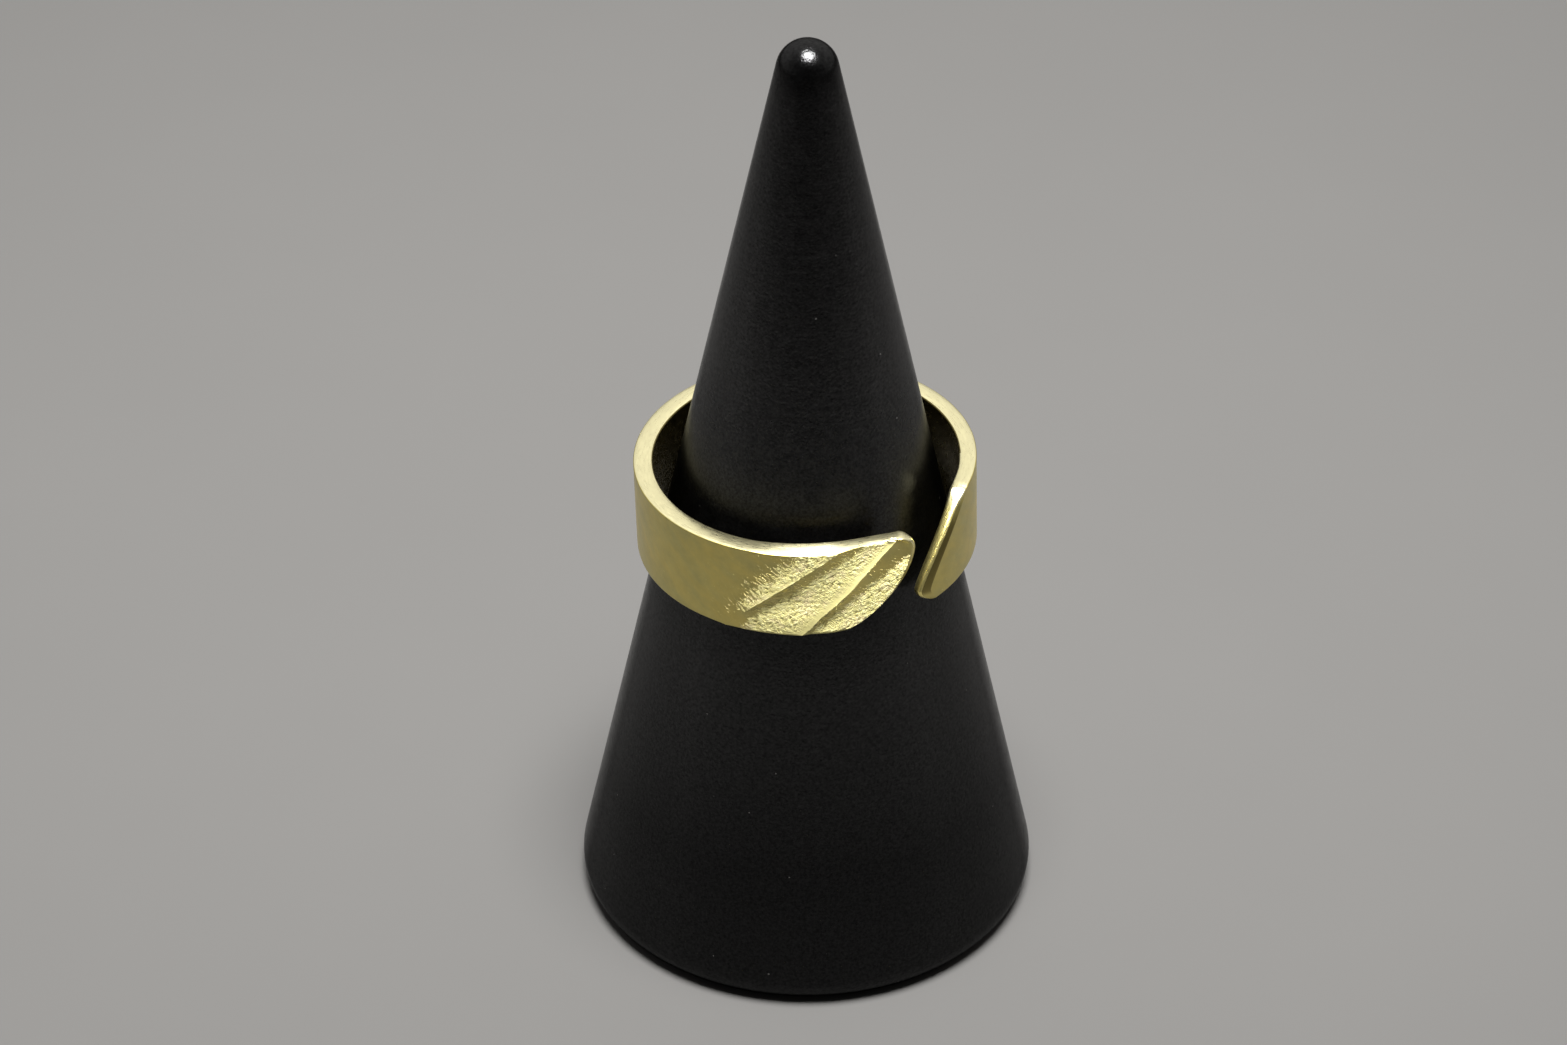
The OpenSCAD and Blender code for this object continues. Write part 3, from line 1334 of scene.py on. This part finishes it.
@dataclass
class Effects:
    """Effects that more than one finish uses, each a node group that is built once.

    Attributes:
        drift_detail: Layers of the tone's clouds.
        drift_rough: How strong the finer layers are.
        grit_detail: Layers of the grit's clouds.
        grit_rough: How strong the finer layers are.
        pit_edge: Distance from a pit's middle over which it rises to the surface.
    """

    drift_detail: float = 3.0
    drift_rough: float = 0.6
    grit_detail: float = 4.0
    grit_rough: float = 0.65
    pit_edge: Ramp = Ramp(0.1, 0.45, 1.0, 0.0)

    def __post_init__(self) -> None:
        """Builds the groups."""
        self.drift = self.tone_drift()
        self.grit = self.fine_grit()

    @staticmethod
    def new_group(name: str, inputs: Iterable[tuple[str, str, object]],
                  outputs: Iterable[tuple[str, str]]) -> tuple[Wiring, bpy.types.Node, bpy.types.Node]:
        """Starts a node group.

        Args:
            name: The group's name.
            inputs: Name, kind of socket and first value of each input.
            outputs: Name and kind of socket of each output.

        Returns:
            The group's wiring, its input node and its output node.
        """
        group = bpy.data.node_groups.new(name, "ShaderNodeTree")
        for label, kind, value in inputs:
            socket = group.interface.new_socket(label, in_out="INPUT", socket_type=kind)
            if value is not None:
                socket.default_value = value
        for label, kind in outputs:
            group.interface.new_socket(label, in_out="OUTPUT", socket_type=kind)
        wiring = Wiring(group)
        return wiring, wiring.add("NodeGroupInput"), wiring.add("NodeGroupOutput")

    def tone_drift(self) -> bpy.types.NodeTree:
        """Builds the slow drift of tone that any hand-finished surface has.

        Returns:
            The group, which puts out a tone round 1.
        """
        w, given, out = self.new_group(
            "tone_drift",
            (("Place", "NodeSocketVector", None), ("Scale", "NodeSocketFloat", 1.0),
             ("Amount", "NodeSocketFloat", 0.1)),
            (("Tone", "NodeSocketFloat"),),
        )
        place, scale = given.outputs["Place"], given.outputs["Scale"]
        signed = w.maths("SUBTRACT", w.noise(place, scale, self.drift_detail, self.drift_rough), 0.5)
        w.feed(out.inputs["Tone"], w.maths("MULTIPLY_ADD", signed, given.outputs["Amount"], 1.0))
        return w.tree

    def fine_grit(self) -> bpy.types.NodeTree:
        """Builds a fine grit: a cloudy grain with small round pits in it.

        Returns:
            The group, which puts out the grit's height.
        """
        w, given, out = self.new_group(
            "fine_grit",
            (("Place", "NodeSocketVector", None), ("Scale", "NodeSocketFloat", 1.0),
             ("Pits", "NodeSocketFloat", 0.5)),
            (("Height", "NodeSocketFloat"),),
        )
        place, scale = given.outputs["Place"], given.outputs["Scale"]
        cloud = w.noise(place, scale, self.grit_detail, self.grit_rough)
        sunk = w.maths("MULTIPLY", w.ramp(w.cells(place, scale), self.pit_edge), given.outputs["Pits"])
        w.feed(out.inputs["Height"], w.maths("SUBTRACT", cloud, sunk))
        return w.tree

    def tone(self, w: Wiring, place: object, scale: float, amount: float) -> bpy.types.NodeSocket:
        """Returns a drift of tone, placed in a material by its wiring."""
        inputs = {"Place": place, "Scale": scale, "Amount": amount}
        return w.fed("ShaderNodeGroup", inputs, node_tree=self.drift).outputs["Tone"]

    def grain(self, w: Wiring, place: object, scale: float, pits: float) -> bpy.types.NodeSocket:
        """Returns the height of a fine grit, placed in a material by its wiring."""
        inputs = {"Place": place, "Scale": scale, "Pits": pits}
        return w.fed("ShaderNodeGroup", inputs, node_tree=self.grit).outputs["Height"]


def new_material(name: str) -> tuple[bpy.types.Material, Wiring, bpy.types.Node]:
    """Starts a node material.

    Args:
        name: The material's name.

    Returns:
        The material, its wiring and its Principled node.
    """
    material = bpy.data.materials.new(name)
    material.use_nodes = True
    material.node_tree.nodes.clear()
    w = Wiring(material.node_tree)
    shader = w.add("ShaderNodeBsdfPrincipled")
    w.fed("ShaderNodeOutputMaterial", {"Surface": shader.outputs["BSDF"]})
    return material, w, shader


@dataclass(frozen=True)
class SatinBrass:
    """Satin brass of the band's outer face, frosted and pitted where the cast ground is.

    Attributes:
        satin: Colour of the plain band.
        ochre: Colour of its warmer clouds.
        frosted: Colour of the cast ground.
        blush: Colour of its rosy patches.
        pale: Colour of the painted highlight on its lumps.
        tarnish_and_shade: Colour of its pits: tarnish, with painted shade in the hollows.
        bevel_shade: Colour of the painted shade along the bevels.
        slant: Angle of the marks on the strip, in degrees.
        dash_scale: Dashes to a millimetre, along the slant, across it and into the metal.
        dash_weight: How much the dashes break up the ground's edge.
        crumb_scale: Crumbs to a millimetre.
        crumb_weight: How much the crumbs break up the ground's edge.
        crumb_height: Height of the crumbs against that of the cast lumps.
        reach_rise: How much further the patches reach where the ground is whole.
        reach_start: How far they reach where it starts.
        patch_edge: How sharp a patch of the ground ends.
        least_cover: Cover between the patches, by the ground.
        pitted: How a pit darkens with tarnish and painted shade, by its height.
        glinting: How much painted highlight a lump takes, by its height.
        drift: Scale and amount of the drift of tone.
        blush_scale: Rosy patches to a millimetre.
        blush_share: How rosy they are.
        cloud_scale: Clouds to a millimetre, along the slant, across it and into the metal.
        cloud_share: How warm they are.
        calm_shade: How much painted shade darkens the ground where it is calm, as on the flanks before the
            crests.
        metal: How metallic the face is, by the cover.
        rough: Its roughness, by the cover.
        shine: Its specular level, by the cover.
        grit: Scale and pits of the fine grit.
        grit_depth: Depth of that grit, in metres.
        least_bump: Strength of the dashes and crumbs as relief on the plain band.
        crumb_bump: How much stronger they are on coarse ground.
        bump_depth: Their depth, in metres.
    """

    satin: Colour = (0.56, 0.49, 0.185)
    ochre: Colour = (0.66, 0.54, 0.17)
    frosted: Colour = (0.93, 0.845, 0.36)
    blush: Colour = (0.95, 0.81, 0.45)
    pale: Colour = (0.98, 0.92, 0.46)
    tarnish_and_shade: Colour = (0.27, 0.215, 0.05)
    bevel_shade: Colour = (0.26, 0.21, 0.07)
    slant: float = 38.0
    dash_scale: Triple = (1.9, 11.0, 1.0)
    dash_weight: float = 3.6
    crumb_scale: float = 12.0
    crumb_weight: float = 1.9
    crumb_height: float = 1.5
    reach_rise: float = 1.9
    reach_start: float = 1.75
    patch_edge: Ramp = Ramp(-0.15, 0.2)
    least_cover: Ramp = Ramp(0.3, 0.9, 0.0, 0.4)
    pitted: Ramp = Ramp(-0.6, -0.15, 0.8, 0.0)
    glinting: Ramp = Ramp(0.1, 0.5)
    drift: tuple[float, float] = (1.2, 0.3)
    blush_scale: float = 1.5
    blush_share: Ramp = Ramp(0.47, 0.64, 0.0, 0.8)
    cloud_scale: Triple = (0.35, 0.8, 1.0)
    cloud_share: Ramp = Ramp(0.35, 0.65)
    calm_shade: float = 0.2
    metal: Ramp = Ramp(0.0, 1.0, 1.0, 0.18)
    rough: Ramp = Ramp(0.0, 1.0, 0.34, 0.6)
    shine: Ramp = Ramp(0.0, 1.0, 0.5, 0.06)
    grit: tuple[float, float] = (26.0, 0.2)
    grit_depth: float = 0.000004
    least_bump: float = 0.01
    crumb_bump: float = 0.72
    bump_depth: float = 0.0001

    def material(self, effects: Effects) -> bpy.types.Material:
        """Makes the material, which follows the strip by its attributes.

        Args:
            effects: The shared effects.

        Returns:
            The material.
        """
        material, w, shader = new_material("satin_brass")
        place = w.attribute("strip_place")
        ground, coarse, lump = w.parts(w.attribute("cast"))
        slanted = w.scaled(place, (1.0, 1.0, 1.0), (0.0, 0.0, math.radians(self.slant)))
        dash = w.noise(w.scaled(slanted, self.dash_scale), 1.0, detail=2.0)
        crumb = w.noise(place, self.crumb_scale, detail=3.0, rough=0.65)
        level = w.maths("MULTIPLY_ADD", ground, self.reach_rise, self.reach_start)
        left = w.maths("MULTIPLY_ADD", crumb, -self.crumb_weight, level)
        patches = w.ramp(w.maths("MULTIPLY_ADD", dash, -self.dash_weight, left), self.patch_edge)
        cover = w.maths("MAXIMUM", patches, w.ramp(ground, self.least_cover))
        rough_cover = w.maths("MULTIPLY", cover, coarse)
        calm_cover = w.maths("SUBTRACT", cover, rough_cover)

        height = w.maths("MULTIPLY_ADD", w.maths("SUBTRACT", crumb, 0.5), self.crumb_height, lump)
        # Pits darken with tarnish and painted shade; lumps take a painted highlight.
        pit = w.maths("MULTIPLY", w.ramp(height, self.pitted), rough_cover)
        glint = w.maths("MULTIPLY", w.ramp(height, self.glinting), rough_cover)
        rosy = w.ramp(w.noise(place, self.blush_scale, detail=2.0), self.blush_share)
        frosted = w.blend(w.maths("MULTIPLY", rosy, coarse), self.frosted, self.blush)
        cloud = w.noise(w.scaled(slanted, self.cloud_scale), 1.0, detail=4.0, rough=0.6)
        satin = w.blend(w.ramp(cloud, self.cloud_share), self.satin, self.ochre)
        colour = w.blend(glint, w.blend(cover, satin, frosted), self.pale)
        # The bevels take their painted shade here.
        dulled = w.blend(w.attribute("bevel_shade", "Fac"), w.blend(pit, colour, self.tarnish_and_shade), self.bevel_shade)
        tone = effects.tone(w, place, *self.drift)
        # Painted shade darkens the calm ground before the crests, whose flanks tilt towards the lamp.
        shown = w.maths("MULTIPLY", tone, w.maths("MULTIPLY_ADD", calm_cover, -self.calm_shade, 1.0))
        w.feed(shader.inputs["Base Color"], w.toned(dulled, shown))

        w.feed(shader.inputs["Metallic"], w.ramp(cover, self.metal))
        w.feed(shader.inputs["Roughness"], w.ramp(cover, self.rough))
        w.feed(shader.inputs["Specular IOR Level"], w.ramp(cover, self.shine))
        soft = w.bump(effects.grain(w, place, *self.grit), self.grit_depth)
        strength = w.maths("MULTIPLY_ADD", rough_cover, self.crumb_bump, self.least_bump)
        crumbs = w.maths("MULTIPLY", w.maths("ADD", dash, crumb), strength)
        w.feed(shader.inputs["Normal"], w.bump(crumbs, self.bump_depth, normal=soft))
        return material


@dataclass(frozen=True)
class FiledBrass:
    """Brass finished by file or paper, with fine marks: bright on the rims; its copy in the bore is darkened
    by painted shade.

    Attributes:
        name: The material's name.
        colour: Its colour on the rims.
        end_colour: Its colour between them.
        rough: Its roughness between the marks.
        marks_depth: Depth of the marks, in metres.
        marks_scale: Marks to a millimetre, along the strip, up it and through it.
        marks_range: Values of the marks' noise between which the roughness spreads.
        smoother: How much smoother the lowest marks are.
        rougher: How much rougher the highest marks are.
        upper_rim: Heights over which the upper rim starts, in millimetres.
        lower_rim: Heights over which the lower rim ends, in millimetres.
        drift: Scale and amount of the drift of tone.
        grit: Scale and pits of the fine grit.
        grit_depth: Depth of that grit, in metres.
        grit_shown: How much of it shows, from the cut ends to the rims.
    """

    name: str = "filed_brass"
    colour: Colour = (0.85, 0.785, 0.47)
    end_colour: Colour = (0.97, 0.83, 0.31)
    rough: float = 0.3
    marks_depth: float = 0.000008
    marks_scale: Triple = (2.0, 2.0, 14.0)
    marks_range: tuple[float, float] = (0.3, 0.7)
    smoother: float = 0.04
    rougher: float = 0.05
    upper_rim: Ramp = Ramp(4.8, 5.4)
    lower_rim: Ramp = Ramp(0.2, 0.6, 1.0, 0.0)
    drift: tuple[float, float] = (1.3, 0.12)
    grit: tuple[float, float] = (14.0, 0.15)
    grit_depth: float = 0.000012
    grit_shown: Ramp = Ramp(0.0, 1.0, 1.0, 0.25)

    def material(self, effects: Effects) -> bpy.types.Material:
        """Makes the material, with file marks that follow the strip.

        Args:
            effects: The shared effects.

        Returns:
            The material.
        """
        material, w, shader = new_material(self.name)
        place = w.attribute("strip_place")
        _, up, _ = w.parts(place)
        rim = w.maths("MAXIMUM", w.ramp(up, self.upper_rim), w.ramp(up, self.lower_rim))
        tone = effects.tone(w, place, *self.drift)
        w.feed(shader.inputs["Base Color"], w.toned(w.blend(rim, self.end_colour, self.colour), tone))
        shader.inputs["Metallic"].default_value = 1.0
        marks = w.noise(w.scaled(place, self.marks_scale), 1.0, detail=3.0)
        spread = Ramp(*self.marks_range, self.rough - self.smoother, self.rough + self.rougher)
        w.feed(shader.inputs["Roughness"], w.ramp(marks, spread))
        soft = w.bump(effects.grain(w, place, *self.grit), self.grit_depth, w.ramp(rim, self.grit_shown))
        w.feed(shader.inputs["Normal"], w.bump(marks, self.marks_depth, normal=soft))
        return material


@dataclass(frozen=True)
class BlackLacquer:
    """Semi-gloss black lacquer with an orange-peel mottle and specks of dust. Lengths are in millimetres.

    Attributes:
        black: Colour of the lacquer.
        dust: Colour of the dust.
        dust_scale: Specks to a millimetre.
        speck: How a speck ends, by the distance from its middle.
        drift: Scale and amount of the drift of tone.
        handled: How shiny the cone is from its foot up to where it is handled.
        tip_wear: How the shine falls at the tip.
        seat_foot: Heights over which the ring's seat starts.
        seat_head: Heights over which it ends.
        seat_dims: How much of the shine the ring has rubbed off there.
        seat_rough: How much rougher it has made the lacquer.
        mottle_scale: Mottles to a millimetre.
        mottle_range: How the shine varies over them.
        ior: Index of refraction, from the face turned to the eye to the edge.
        cloud_scale: Clouds of the roughness to a millimetre.
        rough: Roughness over those clouds.
        peel: Scale and pits of the orange peel.
        peel_depth: Depth of the orange peel, in metres.
        peel_shown: How much of it shows, from the face turned to the eye to the edge.
        turned_scale: Rings that the lathe left, to a millimetre across and up.
        turned_depth: Depth of those rings, in metres.
    """

    black: Colour = (0.0002, 0.00018, 0.0002)
    dust: Colour = (0.05, 0.048, 0.045)
    dust_scale: float = 0.55
    speck: Ramp = Ramp(0.02, 0.035, 1.0, 0.0)
    drift: tuple[float, float] = (0.5, 0.6)
    handled: Ramp = Ramp(9.0, 38.0, 0.2, 0.85)
    tip_wear: Ramp = Ramp(56.0, 58.4, 1.0, 0.35)
    seat_foot: Ramp = Ramp(21.0, 26.0)
    seat_head: Ramp = Ramp(33.0, 40.0, 1.0, 0.0)
    seat_dims: float = 0.3
    seat_rough: float = 0.11
    mottle_scale: float = 5.5
    mottle_range: Ramp = Ramp(0.35, 0.65, 0.6, 1.4)
    ior: Ramp = Ramp(0.3, 0.75, 1.48, 1.1)
    cloud_scale: float = 1.4
    rough: Ramp = Ramp(0.3, 0.7, 0.17, 0.25)
    peel: tuple[float, float] = (4.5, 0.3)
    peel_depth: float = 0.000014
    peel_shown: Ramp = Ramp(0.35, 0.8, 1.0, 0.25)
    turned_scale: Triple = (0.12, 0.12, 3.2)
    turned_depth: float = 0.000006

    def material(self, effects: Effects) -> bpy.types.Material:
        """Makes the material, which reads the cone's own coordinates.

        Args:
            effects: The shared effects.

        Returns:
            The material.
        """
        material, w, shader = new_material("black_lacquer")
        place = w.scaled(w.add("ShaderNodeTexCoord").outputs["Object"], (1 / MM, 1 / MM, 1 / MM))
        _, _, up = w.parts(place)
        facing = w.add("ShaderNodeLayerWeight").outputs["Facing"]
        toned = w.toned(self.black, effects.tone(w, place, *self.drift))
        speck = w.ramp(w.cells(place, self.dust_scale), self.speck)
        w.feed(shader.inputs["Base Color"], w.blend(speck, toned, self.dust))

        rubbed = w.maths("MULTIPLY", w.ramp(up, self.seat_foot), w.ramp(up, self.seat_head))
        worn = w.maths("MULTIPLY", w.ramp(up, self.handled), w.ramp(up, self.tip_wear))
        mottle = w.ramp(w.noise(place, self.mottle_scale, detail=4.0, rough=0.7), self.mottle_range)
        left = w.maths("MULTIPLY_ADD", rubbed, -self.seat_dims, 1.0)
        shine = w.maths("MULTIPLY", w.maths("MULTIPLY", worn, mottle), left)
        w.feed(shader.inputs["Specular IOR Level"], shine)
        w.feed(shader.inputs["IOR"], w.ramp(facing, self.ior))
        clouded = w.ramp(w.noise(place, self.cloud_scale, detail=3.0), self.rough)
        w.feed(shader.inputs["Roughness"], w.maths("MULTIPLY_ADD", rubbed, self.seat_rough, clouded))

        turned = w.bump(w.noise(w.scaled(place, self.turned_scale), 1.0, detail=2.0), self.turned_depth)
        peel = effects.grain(w, place, *self.peel)
        shown = w.ramp(facing, self.peel_shown)
        w.feed(shader.inputs["Normal"], w.bump(peel, self.peel_depth, shown, turned))
        return material


@dataclass(frozen=True)
class PaleFloor:
    """The plain pale surface that the cone stands on.

    Attributes:
        pale: Its colour.
        rough: Its roughness.
        drift: Scale and amount of the drift of tone.
    """

    pale: Colour = (0.064, 0.062, 0.059)
    rough: float = 0.85
    drift: tuple[float, float] = (40.0, 0.06)

    def material(self, effects: Effects) -> bpy.types.Material:
        """Makes the material.

        Args:
            effects: The shared effects.

        Returns:
            The material.
        """
        material, w, shader = new_material("pale_floor")
        place = w.add("ShaderNodeTexCoord").outputs["Object"]
        w.feed(shader.inputs["Base Color"], w.toned(self.pale, effects.tone(w, place, *self.drift)))
        shader.inputs["Roughness"].default_value = self.rough
        return material


@dataclass(frozen=True)
class Lamp:
    """One round soft lamp, in metres, watts and degrees.

    Attributes:
        name: Name of the lamp.
        at: Its place.
        aim: The place that it is turned to.
        across: Its diameter.
        power: Its power.
        spread: Angle of its beam.
    """

    name: str
    at: Place
    aim: Place
    across: float
    power: float
    spread: float

    def place(self) -> None:
        """Adds the lamp to the scene."""
        light = bpy.data.lights.new(self.name, "AREA")
        light.shape = "DISK"
        light.size = self.across
        light.energy = self.power
        light.spread = math.radians(self.spread)
        thing = bpy.data.objects.new(self.name, light)
        thing.location = self.at
        way = Vector(self.aim) - Vector(self.at)
        thing.rotation_euler = way.to_track_quat("-Z", "Y").to_euler()
        bpy.context.scene.collection.objects.link(thing)


@dataclass(frozen=True)
class Studio:
    """Camera, floor and light. Angles are in radians and places in metres.

    Attributes:
        camera_at: Place of the camera.
        pitch: How far it looks down.
        yaw: How far it is turned to the right.
        roll: How far it leans.
        lens: Focal length, in millimetres.
        sensor: Width of the sensor, in millimetres.
        clip_from: Distance from which the camera sees.
        floor_across: Size of the floor.
        room_tint: Colour of the room's light.
        room_back: Strength of that light, from the front of the room to the back.
        room_high: How it changes from low to high.
        room_side: What the sides of the room add.
        lamp: The lamp overhead.
    """

    camera_at: Place = (0.0, -0.23318, 0.19369)
    pitch: float = 0.623
    yaw: float = -0.006
    roll: float = -0.002
    lens: float = 110.0
    sensor: float = 36.0
    clip_from: float = 0.01
    floor_across: float = 6.0
    room_tint: Colour = (1.0, 0.985, 0.96)
    room_back: Ramp = Ramp(-0.5, 0.8, 0.04, 0.62)
    room_high: Ramp = Ramp(0.15, 0.5, 0.75, 1.4)
    room_side: Ramp = Ramp(0.3, 1.0, 0.0, 0.15)
    lamp: Lamp = Lamp(
        name="key_overhead",
        at=(0.02, -0.06, 0.48),
        aim=(-0.01, 0.06, 0.0),
        across=0.25,
        power=1.85,
        spread=70.0,
    )

    def place_camera(self) -> None:
        """Adds the camera at the photograph's viewing angle."""
        forward = Vector((
            math.sin(self.yaw) * math.cos(self.pitch),
            math.cos(self.yaw) * math.cos(self.pitch),
            -math.sin(self.pitch),
        ))
        level = Vector((math.cos(self.yaw), -math.sin(self.yaw), 0.0))
        up = level.cross(forward)
        right = level * math.cos(self.roll) + up * math.sin(self.roll)
        top = up * math.cos(self.roll) - level * math.sin(self.roll)
        data = bpy.data.cameras.new("photo_view")
        data.lens = self.lens
        data.sensor_width = self.sensor
        data.clip_start = self.clip_from
        thing = bpy.data.objects.new("photo_view", data)
        turn = Matrix((right, top, -forward)).transposed().to_4x4()
        thing.matrix_world = Matrix.Translation(self.camera_at) @ turn
        bpy.context.scene.collection.objects.link(thing)
        bpy.context.scene.camera = thing

    def place_floor(self, material: bpy.types.Material) -> None:
        """Adds the floor, which isn't part of the object.

        Args:
            material: The floor's material.
        """
        bm = bmesh.new()
        bmesh.ops.create_grid(bm, x_segments=1, y_segments=1, size=self.floor_across / 2)
        floor = mesh_object("floor", bm)
        floor.data.materials.append(material)

    def light_room(self) -> None:
        """Fills the room with soft light, brighter behind the object than behind the camera."""
        world = bpy.data.worlds.new("soft_room")
        world.use_nodes = True
        world.node_tree.nodes.clear()
        w = Wiring(world.node_tree)
        across, along, up = w.parts(w.add("ShaderNodeTexCoord").outputs["Generated"])
        side = w.ramp(w.maths("ABSOLUTE", across), self.room_side)
        glow = w.maths("MULTIPLY_ADD", w.ramp(along, self.room_back), w.ramp(up, self.room_high), side)
        background = w.fed("ShaderNodeBackground", {"Color": self.room_tint, "Strength": glow})
        w.fed("ShaderNodeOutputWorld", {"Surface": background.outputs["Background"]})
        bpy.context.scene.world = world

    def build(self, effects: Effects) -> None:
        """Sets up the studio round the object.

        Args:
            effects: The shared effects.
        """
        self.place_camera()
        self.place_floor(PaleFloor().material(effects))
        self.light_room()
        self.lamp.place()
        bpy.context.scene.view_settings.view_transform = "Standard"


def main() -> None:
    """Builds the cone, the ring on it and the studio, and reports each piece."""
    logging.basicConfig(level=logging.INFO, format="%(name)s: %(message)s")
    effects = Effects()
    cone = RingCone()
    ring = CuffRing()
    ring.seat_z = cone.height_at(ring.plan.bore_r - ring.seat_gap)
    for piece in (cone.dress(effects), ring.dress(effects)):
        LOG.info("%s: %d vertices, %d faces", piece.name, len(piece.data.vertices), len(piece.data.polygons))
    Studio().build(effects)


if __name__ == "__main__":
    main()
